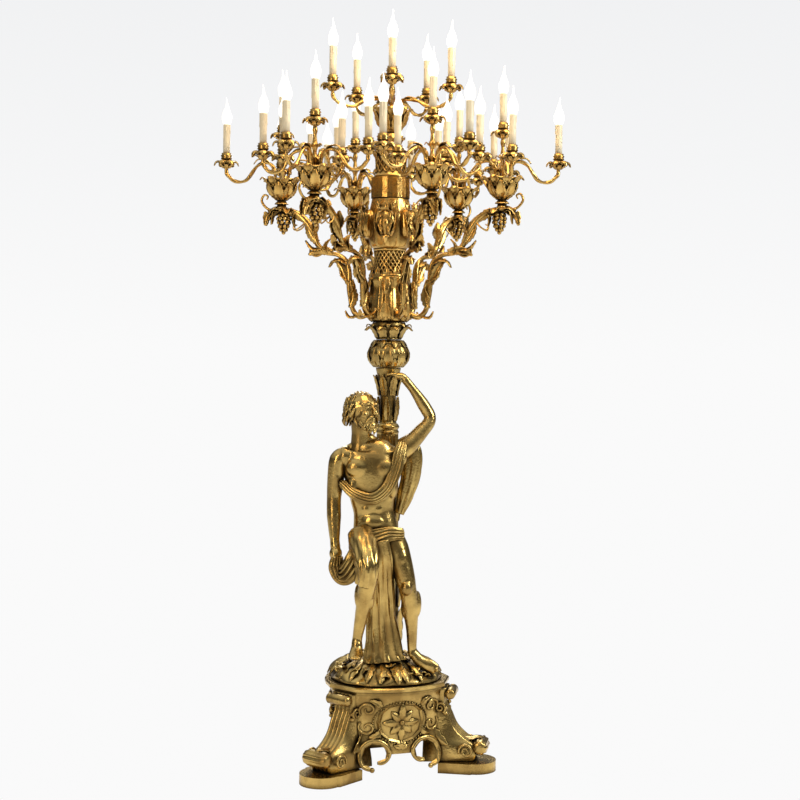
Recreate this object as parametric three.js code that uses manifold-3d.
// Figural candelabrum floor lamp, in millimetres, +Z up.
// The origin is on the floor, on the axis of the column. The front panel faces -Y.
import * as THREE from 'three';
import { mergeVertices } from 'three/addons/utils/BufferGeometryUtils.js';
import Module from 'manifold-3d';

const wasm = await Module();
wasm.setup();

// Clearances
const seat = 0.3;
const grown = 0.4;
const weld = 0.001;

// Base
const legAngles = [210, 330, 90];
const padThick = 36;
const padTip = 398;
const padHalfWidth = 80;
const padInner = 205;
const plinthHeight = 252;
const capThick = 24;
const capCorner = 222;
const capCornerHalf = 58;
const capBow = 47;
const consoleBack = 150;
const rollRadius = 19;
const footRollRadius = 29;
const reedHalfWidth = 44;
const panelThick = 10;
const archHalfSpan = 46;
const archCentre = 92;
const braceRadius = 140;
const braceThick = 12;
const nutRadius = 16;
const nutThick = 13;
const rodRadius = 7;
const rodBore = 4;
const rodEnd = 20;
const glandRadius = 12;
const glandHeight = 16;
const cableRadius = 4;
const moundHeight = 82;

// Column and urn, each piece standing on the one below
const columnHeight = 1084;
const columnFoot = 58;
const shaftRadius = 29;
const knopHeight = 98;
const knopRadius = 67;
const collarHeight = 61;
const collarReach = 91;
const urnHeight = 156;
const urnBelly = 77;
const neckHeight = 98;
const neckRadius = 51;
const bossHeight = 175;
const bossRing = 84;
const bossRadius = 33;
const bossCount = 6;
const sleeveHeight = 70;
const sleeveRadius = 68;
const capitalHeight = 158;
const capitalRadius = 66;

// Lights
const armCount = 6;
const armReach = 390;
const cupFoot = 1967;
const cupHeight = 90;
const cupRadius = 50;
const cupLeaf = 80;
const branchCount = 4;
const branchTurn = 15;
const branchReach = 195;
const branchRod = 6.5;
const panLift = 30;
const centreLift = 132;
const panHeight = 33;
const panLeaf = 50;
const holderHeight = 22;
const candleHeight = 100;
const candleRadius = 12;
const candleWall = 2;
const bulbHeight = 95;
const bulbRadius = 17.5;
const capRadius = 6.8;
const holderStub = 60;
const stubRadius = 8.5;
const tierCount = 5;
const tierFirst = 250;
const tierReach = 214;
const tierCupHeight = 80;
const tierLift = 49;
const tierPost = 95;

// Figure, seen from its own front (-Y), turned to the viewer's side
const figureTurn = -20;
const figureFront = -106;

const legFoot = padThick + seat;
const capBottom = padThick + plinthHeight;
const capTop = capBottom + capThick;
const columnBottom = capTop + seat;
const columnTop = columnBottom + columnHeight;
const knopBottom = columnTop + seat;
const collarBottom = knopBottom + knopHeight + seat;
const urnBottom = collarBottom + collarHeight + seat;
const neckBottom = urnBottom + urnHeight + seat;
const bossBottom = neckBottom + neckHeight + seat;
const sleeveBottom = bossBottom + bossHeight + seat;
const capitalBottom = sleeveBottom + sleeveHeight + seat;
const tierBottom = capitalBottom + capitalHeight + seat;
const tierRim = tierBottom + tierCupHeight;
const cupRim = cupFoot + cupHeight;

const gilt = { color: 0xb98a2e, roughness: 0.35, metalness: 1 };
const antique = { color: 0x8a6a24, roughness: 0.42, metalness: 1 };
const steel = { color: 0x8c8c88, roughness: 0.5, metalness: 1 };
const ivory = { color: 0xe9ddb8, roughness: 0.7, metalness: 0 };
const flame = { color: 0xfff6dc, roughness: 0.2, metalness: 0 };

const lamp = new THREE.Group();
const vector = (x, y, z) => new THREE.Vector3(x, y, z);
const radians = THREE.MathUtils.degToRad;

// Skins rings of points, each counter-clockwise about the way that they follow, and closes both ends.
function loft(rings) {
  const count = rings[0].length;
  const positions = [];
  const faces = [];
  const centres = [rings[0], rings[rings.length - 1]].map((ring) => {
    const middle = vector(0, 0, 0);
    ring.forEach((point) => middle.add(point));
    return middle.divideScalar(count);
  });
  [...rings.flat(), ...centres].forEach((point) => positions.push(point.x, point.y, point.z));
  for (let i = 0; i < rings.length - 1; i += 1) {
    for (let j = 0; j < count; j += 1) {
      const a = i * count + j;
      const b = i * count + (j + 1) % count;
      faces.push(a, b, b + count, a, b + count, a + count);
    }
  }
  const last = (rings.length - 1) * count;
  const low = rings.length * count;
  for (let j = 0; j < count; j += 1) {
    const next = (j + 1) % count;
    faces.push(low, next, j, low + 1, last + j, last + next);
  }
  const geometry = new THREE.BufferGeometry();
  geometry.setAttribute('position', new THREE.Float32BufferAttribute(positions, 3));
  geometry.setIndex(faces);
  return geometry;
}

// Turns a profile of [radius, height, lobe, droop]: every second point moves by lobe and droop.
function turned(profile, sides, start = 0) {
  return loft(profile.map(([radius, height, lobe = 0, droop = 0]) => {
    const ring = [];
    for (let j = 0; j < sides; j += 1) {
      const angle = radians(start + 360 * j / sides);
      const out = radius + (j % 2 ? 0 : lobe);
      const drop = j % 2 ? 0 : droop;
      ring.push(vector(out * Math.cos(angle), out * Math.sin(angle), height - drop));
    }
    return ring;
  }));
}

// A rod along a smooth curve, with a radius for each of its stations.
function rod(points, radii, steps, sides) {
  const curve = new THREE.CatmullRomCurve3(points, false, 'centripetal');
  const frames = curve.computeFrenetFrames(steps, false);
  const rings = [];
  for (let i = 0; i <= steps; i += 1) {
    const centre = curve.getPointAt(i / steps);
    const place = i / steps * (radii.length - 1);
    const low = Math.min(Math.floor(place), radii.length - 2);
    const radius = THREE.MathUtils.lerp(radii[low], radii[low + 1], place - low);
    const ring = [];
    for (let j = 0; j < sides; j += 1) {
      const angle = 2 * Math.PI * j / sides;
      ring.push(centre.clone()
        .addScaledVector(frames.normals[i], radius * Math.cos(angle))
        .addScaledVector(frames.binormals[i], radius * Math.sin(angle)));
    }
    rings.push(ring);
  }
  return loft(rings);
}

// A leaf along points, widest in the middle, across the direction given.
function leaf(points, width, thick, across) {
  const curve = new THREE.CatmullRomCurve3(points);
  const steps = points.length;
  const rings = [];
  for (let i = 0; i <= steps; i += 1) {
    const t = i / steps;
    const centre = curve.getPoint(t);
    const along = curve.getTangent(t);
    const side = across.clone().addScaledVector(along, -across.dot(along)).normalize();
    const face = along.clone().cross(side);
    const half = width / 2 * (0.25 + 0.75 * Math.sin(Math.PI * Math.min(0.97, 0.12 + 0.88 * t)));
    rings.push([
      centre.clone().addScaledVector(side, half),
      centre.clone().addScaledVector(face, thick / 2),
      centre.clone().addScaledVector(side, -half),
      centre.clone().addScaledVector(face, -thick / 2),
    ]);
  }
  return loft(rings);
}

function moved(geometry, x, y, z, turn = 0, tilt = 0) {
  const copy = geometry.clone();
  copy.rotateX(radians(tilt));
  copy.rotateZ(radians(turn));
  copy.translate(x, y, z);
  return copy;
}

function solidOf(geometry) {
  const bare = geometry.clone();
  bare.deleteAttribute('normal');
  bare.deleteAttribute('uv');
  const merged = mergeVertices(bare, weld);
  return new wasm.Manifold(new wasm.Mesh({
    numProp: 3,
    vertProperties: new Float32Array(merged.attributes.position.array),
    triVerts: new Uint32Array(merged.index.array),
  }));
}

function geometryOf(solid) {
  const mesh = solid.getMesh();
  const geometry = new THREE.BufferGeometry();
  geometry.setAttribute('position', new THREE.BufferAttribute(mesh.vertProperties, 3));
  geometry.setIndex(new THREE.BufferAttribute(mesh.triVerts, 1));
  return geometry;
}

function joined(parts) {
  return geometryOf(parts.map(solidOf).reduce((whole, part) => whole.add(part)));
}

function largest(solid) {
  const bodies = solid.decompose();
  bodies.sort((a, b) => b.volume() - a.volume());
  return geometryOf(bodies[0]);
}

// Cuts tools out of a body and keeps the body itself, without crumbs. Slivers that close when the
// points are welded come off in the second pass.
function cut(geometry, tools) {
  const rest = tools.map(solidOf).reduce((body, tool) => body.subtract(tool), solidOf(geometry));
  return largest(solidOf(largest(rest)));
}

function add(name, geometry, finish, angle = 0, reach = 0, owner = lamp) {
  const mesh = new THREE.Mesh(geometry, new THREE.MeshStandardMaterial(finish));
  mesh.name = name;
  mesh.rotation.z = radians(angle);
  mesh.position.set(reach * Math.cos(radians(angle)), reach * Math.sin(radians(angle)), 0);
  owner.add(mesh);
}

const rodHole = (low, high) => turned([[rodRadius + seat, low - 1], [rodRadius + seat, high + 1]], 12);

// Foot pads: a plate with a round outer end
function footPad() {
  const outline = new THREE.Shape();
  const roundRadius = padHalfWidth - 6;
  const roundCentre = padTip - roundRadius;
  outline.moveTo(padInner, -padHalfWidth);
  outline.lineTo(roundCentre - 8, -padHalfWidth);
  outline.lineTo(roundCentre, -roundRadius);
  outline.absarc(roundCentre, 0, roundRadius, -Math.PI / 2, Math.PI / 2, false);
  outline.lineTo(roundCentre - 8, padHalfWidth);
  outline.lineTo(padInner, padHalfWidth);
  outline.closePath();
  return new THREE.ExtrudeGeometry(outline, { depth: padThick, bevelEnabled: false, curveSegments: 8 });
}

// Leg console: reeded front between a roll at the top and a larger roll at the foot
function consoleBody(extra) {
  // height above the pad, front radius, half-width at the front, half-width at the back
  const levels = [
    [0, 318, reedHalfWidth, padHalfWidth - 4],
    [30, 328, reedHalfWidth, 73],
    [58, 320, reedHalfWidth, 67],
    [84, 282, reedHalfWidth, 61],
    [115, 252, reedHalfWidth, 57],
    [158, 232, reedHalfWidth, 53],
    [196, 214, reedHalfWidth, 52],
    [plinthHeight - 2 * seat, 222, reedHalfWidth, 52],
  ];
  return loft(levels.map(([height, front, half, back]) => {
    const z = legFoot + height + (height > 240 ? extra : 0) - (height === 0 ? extra : 0);
    const ring = [vector(consoleBack - extra, back + extra, z), vector(consoleBack - extra, -back - extra, z)];
    const middle = (consoleBack + front) / 2;
    ring.push(vector(middle, -(back + half) / 2 - extra, z));
    for (let j = 0; j <= 6; j += 1) {
      const across = -half + 2 * half * j / 6;
      const reed = j % 2 ? 5 : 0;
      ring.push(vector(front + reed + extra, across + Math.sign(across) * extra, z));
    }
    ring.push(vector(middle, (back + half) / 2 + extra, z));
    return ring;
  }));
}

function legConsole() {
  const rollTop = moved(turned([
    [12, -50], [rollRadius, -42], [rollRadius, 42], [12, 50],
  ], 8), 239, 0, capBottom - rollRadius - seat - 0.4, 0, 90);
  const rollFoot = moved(turned([
    [15, -52], [footRollRadius, -34], [footRollRadius, 34], [15, 52],
  ], 8), 345, 0, legFoot + footRollRadius + 21, 0, 90);
  const knobs = [];
  [[-1, 168], [1, 168], [-1, 186], [1, 186]].forEach(([side, height]) => {
    const bead = turned([[4, -11], [11, 0], [4, 11]], 6);
    knobs.push(moved(bead, 222, side * 46, legFoot + height));
  });
  return joined([consoleBody(0), rollTop, rollFoot, ...knobs]);
}

// Side panel, in a frame whose +X is outwards and +Y along the panel
function panelOut(across, height) {
  const bow = capBow * (1 - (across / 150) ** 2);
  const drop = 1 - height / plinthHeight;
  const flare = 26 * drop ** 3 * (across / 150) ** 2;
  const waist = -14 * Math.sin(Math.PI * drop);
  return 148 + bow * (0.95 - 0.25 * drop) + flare + waist;
}

function scrollBand(sign) {
  const turns = [];
  for (let i = 0; i <= 8; i += 1) {
    const t = i / 8;
    const angle = radians(-70 + 320 * t);
    const radius = archHalfSpan + 8 - (t > 0.72 ? 120 * (t - 0.72) : 0) - (t < 0.12 ? 90 * (0.12 - t) : 0);
    const across = sign * (archCentre + radius * Math.cos(angle));
    const height = 38 + radius * Math.sin(angle);
    turns.push(vector(panelOut(across, height) + 2, across, legFoot + height));
  }
  return rod(turns, [7, 9, 9, 8, 6], 8, 4);
}

function sidePanel() {
  const columns = 8;
  const rows = 3;
  const rings = [];
  for (let i = 0; i <= columns; i += 1) {
    const across = -158 + 316 * i / columns;
    const front = [];
    const back = [];
    for (let k = 0; k <= rows; k += 1) {
      const low = 44;
      const height = low + (plinthHeight - 2 * seat - low) * k / rows;
      const out = panelOut(across, height);
      front.push(vector(out, across, legFoot + height));
      back.unshift(vector(out - panelThick, across, legFoot + height));
    }
    rings.push([...back, ...front].reverse());
  }
  const sheet = loft(rings);
  const arches = [-1, 1].map((sign) => moved(
    turned([[archHalfSpan, -80], [archHalfSpan, 80]], 10), 170, sign * archCentre, legFoot + 36, 90, 90,
  ));
  const pierced = cut(sheet, arches);
  const frame = [-1, 1].map((sign) => rod([[6, 218], [62, 204], [80, 152], [62, 104], [6, 84]].map(
    ([across, height]) => vector(panelOut(across, height) + 2, sign * across, legFoot + height),
  ), [5, 7, 5], 6, 4));
  const whole = joined([pierced, scrollBand(1), scrollBand(-1), ...frame]);
  const consoles = [-60, 60].map((angle) => moved(consoleBody(grown), 0, 0, 0, angle));
  const pads = [-60, 60].map((angle) => moved(footPad(), 0, 0, seat, angle));
  return cut(whole, [...consoles, ...pads]);
}

// Cap plate with cut corners and bowed sides, in three steps
function capPlate() {
  const corner = [];
  [0, 1, 2].forEach((k) => {
    const leg = radians(90 + 120 * k);
    [-1, 1].forEach((side) => corner.push([
      capCorner * Math.cos(leg) - side * capCornerHalf * Math.sin(leg),
      capCorner * Math.sin(leg) + side * capCornerHalf * Math.cos(leg),
    ]));
  });
  const outline = [];
  for (let k = 0; k < 3; k += 1) {
    const from = corner[2 * k + 1];
    const to = corner[(2 * k + 2) % 6];
    outline.push(corner[2 * k]);
    const middle = Math.hypot(from[0] + to[0], from[1] + to[1]);
    for (let i = 0; i <= 6; i += 1) {
      const t = i / 6;
      const swell = capBow * 4 * t * (1 - t) / middle;
      outline.push([
        THREE.MathUtils.lerp(from[0], to[0], t) + swell * (from[0] + to[0]),
        THREE.MathUtils.lerp(from[1], to[1], t) + swell * (from[1] + to[1]),
      ]);
    }
  }
  const steps = [[0.95, 0], [0.95, 7], [1, 11], [1, capThick - 4], [0.98, capThick]];
  const plate = loft(steps.map(([scale, rise]) => outline.map(([x, y]) => (
    vector(x * scale, y * scale, capBottom + rise)))));
  return cut(plate, [rodHole(capBottom, capTop)]);
}

// The column from the cap plate to the knop
function lowerColumn(extra) {
  const low = columnBottom;
  const high = columnTop;
  return turned([
    [columnFoot + extra, low - extra], [columnFoot - 8 + extra, low + 110], [43 + extra, low + 480],
    [39 + extra, low + 820], [34 + extra, low + 872], [36 + extra, low + 880], [36 + extra, low + 890],
    [shaftRadius + extra, low + 897], [shaftRadius + extra, low + 1000], [44 + extra, high + extra],
  ], 14);
}

// Figure: every limb is a run of ellipses [x, y, z, half-width, half-depth]. A limb that runs
// sideways is framed by its depth instead, and then gives its half-depth first.
function limb(stations, sides, extra, upright = false, sideways = false) {
  const path = new THREE.CatmullRomCurve3(stations.map(([x, y, z]) => vector(x, y, z)));
  const spans = stations.length - 1;
  const rings = [];
  for (let i = 0; i <= spans; i += 1) {
    const t = i / spans;
    const wide = stations[i][3] + extra;
    const deep = stations[i][4] + extra;
    const along = upright ? vector(0, 0, 1) : path.getTangent(t);
    const first = sideways ? vector(0, 1, 0) : vector(1, 0, 0);
    first.addScaledVector(along, -along.dot(first)).normalize();
    const second = along.clone().cross(first);
    const centre = path.getPoint(t).addScaledVector(along, (i === spans) * extra - (i === 0) * extra);
    const ring = [];
    for (let j = 0; j < sides; j += 1) {
      const angle = 2 * Math.PI * j / sides;
      ring.push(centre.clone()
        .addScaledVector(first, wide * Math.cos(angle))
        .addScaledVector(second, deep * Math.sin(angle)));
    }
    rings.push(ring);
  }
  return loft(rings);
}

const depth = figureFront;
const torsoShape = (extra) => limb([
  [-36, depth, 778, 52, 44], [-36, depth, 815, 84, 57], [-39, depth, 858, 79, 54], [-45, depth, 905, 72, 50],
  [-50, depth, 965, 85, 57], [-53, depth, 1035, 102, 62], [-52, depth, 1082, 104, 56],
  [-50, depth + 4, 1116, 74, 44], [-66, depth + 4, 1138, 32, 32],
], 12, extra, true);
const headShape = (extra) => limb([
  [-72, depth + 4, 1128, 28, 28], [-84, depth + 2, 1158, 29, 30], [-82, depth - 4, 1196, 45, 50],
  [-86, depth - 2, 1240, 55, 60], [-90, depth + 2, 1280, 52, 56], [-92, depth + 4, 1306, 22, 26],
], 12, extra, true);
const rightArmShape = (extra) => limb([
  [-140, depth, 1104, 24, 26], [-168, depth, 1080, 32, 33], [-177, depth + 2, 1020, 27, 29],
  [-182, depth + 2, 944, 22, 23], [-180, depth - 10, 880, 21, 22], [-176, depth - 22, 800, 15, 16],
  [-172, depth - 28, 775, 22, 24], [-170, depth - 30, 748, 16, 18],
], 8, extra);
const leftArmShape = (extra) => limb([
  [36, depth + 6, 1096, 30, 28], [72, depth + 14, 1130, 33, 32], [118, depth + 30, 1178, 27, 27],
  [150, depth + 44, 1220, 23, 23], [122, depth + 44, 1272, 23, 23], [84, depth + 38, 1326, 18, 17],
  [50, depth + 34, 1366, 13, 18], [12, depth + 36, 1374, 10, 24], [-18, depth + 44, 1370, 6, 20],
], 8, extra, false, true);
const rightLegShape = (extra) => limb([
  [-74, depth, 826, 46, 46], [-70, depth - 50, 792, 50, 48], [-58, depth - 108, 742, 38, 38],
  [-55, depth - 122, 700, 33, 34], [-66, depth - 104, 640, 31, 34], [-80, depth - 80, 560, 26, 28],
  [-94, depth - 64, 480, 19, 21], [-96, depth - 76, 448, 24, 30], [-98, depth - 104, 424, 30, 20],
], 8, extra);
const leftLegShape = (extra) => limb([
  [6, depth, 830, 50, 48], [34, depth - 4, 770, 50, 48], [62, depth - 14, 690, 40, 42],
  [76, depth - 18, 640, 33, 35], [86, depth - 8, 575, 29, 33], [92, depth + 4, 500, 22, 25],
  [94, depth + 8, 430, 18, 20], [112, depth + 2, 396, 24, 26], [150, depth - 2, 372, 27, 15],
  [184, depth - 4, 354, 24, 9],
], 8, extra);
const sashShape = (extra) => limb([
  [-150, depth - 20, 1000, 26, 14], [-110, depth - 50, 968, 18, 18], [-50, depth - 60, 952, 16, 20],
  [0, depth - 56, 985, 16, 20], [30, depth - 48, 1050, 16, 20], [42, depth - 34, 1106, 15, 18],
  [52, depth - 14, 1140, 14, 15],
], 8, extra, false, true);
const backShape = (extra) => limb([
  [56, depth + 42, 1160, 26, 14], [84, depth + 44, 1110, 34, 15], [84, depth + 44, 1040, 34, 15],
  [66, depth + 44, 960, 28, 14], [44, depth + 40, 892, 16, 9],
], 8, extra);
const hipShape = (extra) => joined([
  limb([
    [-164, depth - 36, 738, 18, 14], [-170, depth - 34, 706, 20, 16], [-142, depth - 56, 678, 24, 18],
    [-104, depth - 66, 725, 26, 22], [-64, depth - 62, 806, 24, 26], [0, depth - 54, 832, 18, 22],
    [56, depth - 32, 830, 18, 18],
  ], 8, extra, false, true),
  limb([
    [-30, depth - 70, 812, 40, 20], [-20, depth - 58, 740, 44, 22], [-16, depth - 10, 640, 44, 30],
    [-12, depth + 6, 520, 50, 30], [-4, depth + 6, 420, 62, 34], [0, depth + 4, 380, 70, 36],
  ], 10, extra),
]);

// Ground: rocks and leaves in a low heap that stops short of the cap plate's edge
function groundShape() {
  const rings = [[1, 0], [1.02, 0.22], [0.94, 0.5], [0.86, 0.74], [0.66, 0.95], [0.3, 1]];
  return loft(rings.map(([share, rise], i) => {
    const ring = [];
    for (let j = 0; j < 20; j += 1) {
      const angle = 2 * Math.PI * j / 20;
      const legs = 14 * Math.cos(3 * (angle - Math.PI / 2));
      const rough = i === 0 || i === rings.length - 1 ? 0 : 7 * Math.sin(5 * j + 3 * i);
      const out = share * (196 + legs) + rough;
      const away = Math.cos(angle - radians(225));
      const top = moundHeight * (0.86 + 0.2 * away);
      ring.push(vector(out * Math.cos(angle), out * Math.sin(angle), columnBottom + rise * top));
    }
    return ring;
  }));
}

function buildBase() {
  legAngles.forEach((angle, i) => {
    add(`foot_pad_${i + 1}`, footPad(), antique, angle);
    add(`leg_console_${i + 1}`, legConsole(), antique, angle);
    add(`side_panel_${i + 1}`, sidePanel(), antique, angle + 60);
  });
  add('plinth_cap', capPlate(), antique);
  const braceTop = capBottom - seat;
  const braceLow = braceTop - braceThick;
  const nutTop = braceLow - seat;
  const brace = turned([[braceRadius, braceLow], [braceRadius, braceTop]], 18);
  add('base_brace', cut(brace, [rodHole(braceLow, braceTop)]), steel);
  const nut = turned([[nutRadius, nutTop - nutThick], [nutRadius, nutTop]], 6);
  add('tie_rod_nut', cut(nut, [rodHole(nutTop - nutThick, nutTop)]), steel);
  const rodLow = nutTop - nutThick - rodEnd;
  const rodTop = tierBottom + 48;
  const bar = turned([[rodRadius, rodLow], [rodRadius, rodTop]], 12);
  add('tie_rod', cut(bar, [turned([[rodBore, rodLow - 1], [rodBore, rodTop + 1]], 8)]), steel);
  const glandTop = rodLow - seat;
  const glandLow = glandTop - glandHeight;
  const gland = turned([[glandRadius - 3, glandLow], [glandRadius, glandLow + 6], [glandRadius, glandTop]], 8);
  const cableHole = turned([[cableRadius, glandLow - 1], [cableRadius, glandTop + 1]], 8);
  add('cable_gland', cut(gland, [cableHole]), steel);
}

// A neighbour to cut away: its own shape and its grown copy, which leaves the gap
const room = (...shapes) => shapes.flatMap((shape) => [shape(0), shape(grown)]);

function buildFigure() {
  const figure = new THREE.Group();
  figure.rotation.z = radians(figureTurn);
  lamp.add(figure);
  const column = (extra) => moved(lowerColumn(extra), 0, 0, 0, -figureTurn);
  const knop = (extra) => moved(knopShape(extra), 0, 0, 0, -figureTurn);
  const piece = (name, geometry) => add(name, geometry, antique, 0, 0, figure);
  const body = [torsoShape, headShape, rightArmShape, leftArmShape, rightLegShape, leftLegShape, column];
  piece('torso', cut(torsoShape(0), room(column)));
  piece('head', cut(headShape(0), room(torsoShape, column)));
  piece('right_arm', cut(rightArmShape(0), room(torsoShape, headShape)));
  piece('left_arm', cut(leftArmShape(0), room(torsoShape, headShape, column, knop)));
  piece('right_leg', cut(rightLegShape(0), room(torsoShape, rightArmShape)));
  piece('left_leg', cut(leftLegShape(0), room(torsoShape, rightLegShape, column)));
  piece('chest_sash', cut(sashShape(0), room(...body)));
  piece('back_drapery', cut(backShape(0), room(...body, sashShape)));
  piece('hip_drapery', cut(hipShape(0), room(...body, sashShape, backShape)));
  const ground = moved(groundShape(), 0, 0, 0, -figureTurn);
  add('ground_mound', cut(ground, room(rightLegShape, leftLegShape, hipShape, column)), antique, 0, 0, figure);
}

function knopShape(extra) {
  const low = knopBottom;
  const high = knopBottom + knopHeight;
  return turned([
    [46 + extra, low - extra], [54 + extra, low + 14], [knopRadius - 2 + extra, low + 34, 3],
    [knopRadius - 1 + extra, low + 62, 3], [56 + extra, low + 84], [44 + extra, high + extra],
  ], 16);
}

function buildColumn() {
  const bored = (geometry, low, high) => cut(geometry, [rodHole(low, high)]);
  add('lower_column', bored(lowerColumn(0), columnBottom, columnTop), antique);
  add('column_knop', bored(knopShape(0), knopBottom, knopBottom + knopHeight), antique);
  const collarTop = collarBottom + collarHeight;
  add('leaf_collar', bored(turned([
    [44, collarBottom], [40, collarBottom + 14], [52, collarBottom + 34], [60, collarBottom + 42, collarReach - 60, 12],
    [56, collarBottom + 50, 14, 4], [58, collarTop],
  ], 16), collarBottom, collarTop), antique);
  add('urn_body', bored(urnShape(0), urnBottom, urnBottom + urnHeight), gilt);
  const neckTop = neckBottom + neckHeight;
  add('urn_neck', bored(turned([
    [66, neckBottom], [60, neckBottom + 12], [neckRadius, neckBottom + 34], [neckRadius, neckTop - 12],
    [58, neckTop],
  ], 14), neckBottom, neckTop), gilt);
  const bossTop = bossBottom + bossHeight;
  const core = turned([[58, bossBottom], [72, bossBottom + 22], [80, bossBottom + 90], [64, bossTop]], 12);
  const bosses = [];
  for (let k = 0; k < bossCount; k += 1) {
    const angle = radians(360 * k / bossCount);
    const boss = turned([[10, -54], [bossRadius, -4], [26, 40], [12, 58]], 7);
    bosses.push(moved(boss, bossRing * Math.cos(angle), bossRing * Math.sin(angle), bossBottom + 86));
  }
  add('boss_collar', bored(joined([core, ...bosses]), bossBottom, bossTop), gilt);
  const sleeveTop = sleeveBottom + sleeveHeight;
  add('stem_sleeve', bored(turned([
    [sleeveRadius, sleeveBottom], [sleeveRadius, sleeveTop],
  ], 24), sleeveBottom, sleeveTop), gilt);
  const capitalTop = capitalBottom + capitalHeight;
  add('capital', bored(turned([
    [58, capitalBottom], [52, capitalBottom + 20], [50, capitalBottom + 70], [capitalRadius - 10, capitalBottom + 92, 14, 5],
    [48, capitalBottom + 100], [30, capitalBottom + 118], [34, capitalBottom + 136], [26, capitalTop],
  ], 14), capitalBottom, capitalTop), gilt);
}

// Urn with gadroons: the arms are cut by a grown copy of it
function urnShape(extra) {
  const low = urnBottom;
  const high = urnBottom + urnHeight;
  return turned([
    [58 + extra, low - extra], [66 + extra, low + 8], [urnBelly - 4 + extra, low + 40, 4],
    [70 + extra, low + 80, 4], [65 + extra, low + 118, 4], [74 + extra, high - 10, 4],
    [72 + extra, high + extra, 4],
  ], 24);
}

// Main arm, in its own radial plane: two scrolls with leaves, grapes and a seat for the cup
function mainArm() {
  const path = [
    [58, 1600], [76, 1584], [106, 1576], [131, 1602], [142, 1660], [144, 1724], [156, 1768], [186, 1790],
    [228, 1799], [258, 1828], [274, 1870], [300, 1908], [338, 1936], [370, 1944], [armReach - 4, 1947],
  ].map(([out, z]) => vector(out, 0, z));
  const across = vector(0, 1, 0);
  const parts = [rod(path, [11, 10, 8, 11, 8, 9, 15, 12, 12], 14, 5)];
  parts.push(moved(turned([[9, 1936], [24, 1954], [16, cupFoot - seat]], 6), armReach, 0, 0));
  const leaves = [
    [[[150, 1762], [182, 1768], [214, 1742]], 40],
    [[[246, 1812], [280, 1816], [302, 1842]], 34],
    [[[268, 1858], [258, 1890], [268, 1922]], 40],
    [[[352, 1942], [408, 1956], [444, 1920]], 56],
    [[[396, 1950], [430, 1936], [424, 1890]], 46],
  ];
  leaves.forEach(([points, width]) => {
    parts.push(leaf(points.map(([out, z]) => vector(out, 0, z)), width, 9, across));
  });
  parts.push(moved(turned([
    [5, 1866], [22, 1894], [30, 1920], [12, 1950],
  ], 6), 380, 0, 0));
  parts.push(rod([vector(402, 0, 1946), vector(440, 0, 1952), vector(462, 0, 1978), vector(448, 0, 2000)],
    [6, 5, 3], 4, 4));
  return cut(joined(parts), [urnShape(grown)]);
}

// One candle of a set, from the pan's foot up, whole where it isn't the centre one
function pan(low) {
  return turned([
    [7, low], [21, low + 22, panLeaf - 21, 10], [15, low + panHeight],
  ], 8);
}

function holder(low) {
  return [[15, low - 1], [20, low + 12], [17, low + holderHeight]];
}

function sideCandle(low) {
  const stem = low + panHeight + holderHeight;
  const top = stem + candleHeight;
  return turned([
    [7, low], [21, low + 22, panLeaf - 21, 10], [15, low + panHeight], [20, stem - 8], [candleRadius, stem],
    [candleRadius, top], [bulbRadius, top + 28], [10, top + 58], [1.2, top + bulbHeight],
  ], 6);
}

function centreHolder(foot, low) {
  const stem = low + panHeight + holderHeight;
  return joined([
    turned([[9, foot], [6, foot + 20], [11, (foot + low) / 2], [6, low + 2]], 5),
    pan(low),
    turned([...holder(low + panHeight), [stubRadius, stem], [stubRadius, stem + holderStub]], 6),
  ]);
}

function branch(reach, rim, low, rise, dip) {
  return rod([
    vector(20, 0, rim - 8), vector(30, 0, rim + rise * 0.7), vector(56, 0, rim + rise),
    vector(reach * 0.45, 0, rim + rise * 0.75), vector(reach * 0.64, 0, rim + dip * 0.6),
    vector(reach * 0.84, 0, rim + dip), vector(reach * 0.98, 0, (rim + dip + low) / 2), vector(reach, 0, low + 4),
  ], [branchRod, branchRod, branchRod], 7, 4);
}

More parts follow.
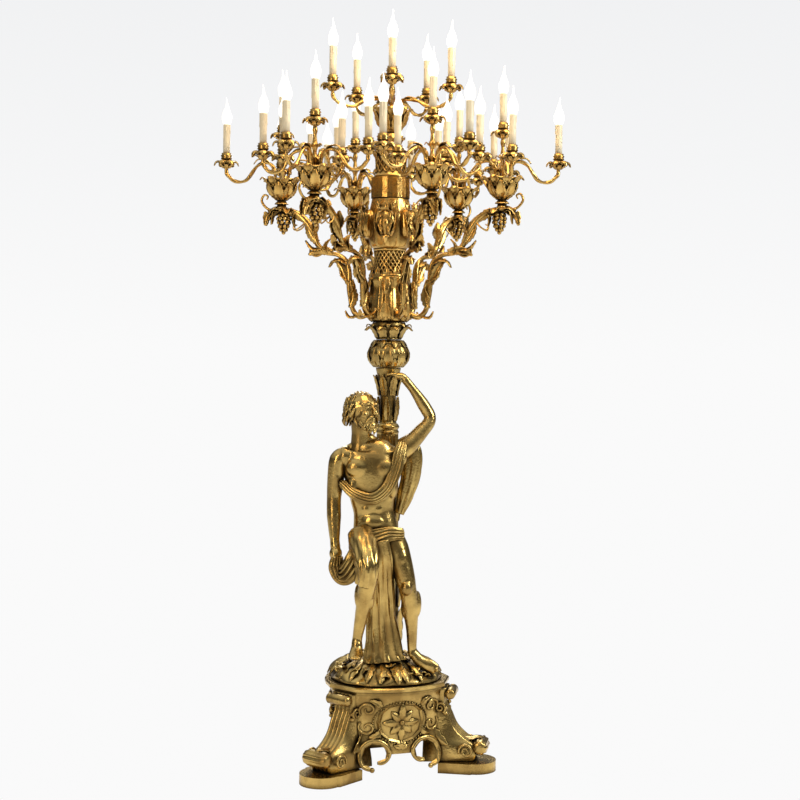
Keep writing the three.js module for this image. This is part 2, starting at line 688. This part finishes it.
function branchSet() {
  const parts = [turned([
    [24, cupFoot], [13, cupFoot + 13], [43, cupFoot + 54], [cupRadius, cupRim - 14],
    [cupRadius + 6, cupRim - 4, cupLeaf - cupRadius - 6, 8], [cupRadius - 2, cupRim],
  ], 12)];
  const low = cupRim + panLift;
  for (let j = 0; j < branchCount; j += 1) {
    const turn = branchTurn + 360 * j / branchCount;
    const at = radians(turn);
    parts.push(moved(branch(branchReach, cupRim, low, 56, -12), 0, 0, 0, turn));
    parts.push(moved(sideCandle(low), branchReach * Math.cos(at), branchReach * Math.sin(at), 0));
  }
  parts.push(centreHolder(cupRim - 4, cupRim + centreLift));
  return joined(parts);
}

function candleSleeve(low) {
  const tube = turned([[candleRadius, low], [candleRadius, low + candleHeight]], 8);
  const bore = candleRadius - candleWall;
  return cut(tube, [turned([[bore, low - 1], [bore, low + candleHeight + 1]], 8)]);
}

function flameBulb(low) {
  const top = low + candleHeight;
  return turned([
    [capRadius, low + holderStub + seat], [capRadius, top + seat], [candleRadius, top + seat + 0.2],
    [bulbRadius, top + 28], [10, top + 58], [1.2, top + bulbHeight],
  ], 8);
}

function buildLights() {
  const arm = mainArm();
  const set = branchSet();
  const candleLow = cupRim + centreLift + panHeight + holderHeight + seat;
  const sleeve = candleSleeve(candleLow);
  const bulb = flameBulb(candleLow);
  for (let k = 0; k < armCount; k += 1) {
    const angle = 30 + 360 * k / armCount;
    add(`main_arm_${k + 1}`, arm, gilt, angle);
    add(`branch_set_${k + 1}`, set, gilt, angle, armReach);
    add(`candle_sleeve_${k + 1}`, sleeve, ivory, angle, armReach);
    add(`flame_bulb_${k + 1}`, bulb, flame, angle, armReach);
  }
  const parts = [turned([
    [26, tierBottom], [44, tierBottom + 40], [52, tierRim - 14],
    [56, tierRim - 4, 22, 8], [48, tierRim],
  ], 12)];
  const low = tierRim + tierLift;
  for (let j = 0; j < tierCount; j += 1) {
    const turn = tierFirst + 360 * j / tierCount;
    const at = radians(turn);
    parts.push(moved(branch(tierReach, tierRim, low, 34, 6), 0, 0, 0, turn));
    parts.push(moved(sideCandle(low), tierReach * Math.cos(at), tierReach * Math.sin(at), 0));
  }
  parts.push(centreHolder(tierRim - 4, tierRim + tierPost));
  const hole = turned([[rodRadius + seat, tierBottom - 1], [rodRadius + seat, tierBottom + 50]], 12);
  add('upper_tier', cut(joined(parts), [hole]), gilt);
  const topLow = tierRim + tierPost + panHeight + holderHeight + seat;
  add('candle_sleeve_7', candleSleeve(topLow), ivory);
  add('flame_bulb_7', flameBulb(topLow), flame);
}

buildBase();
buildFigure();
buildColumn();
buildLights();

export default lamp;
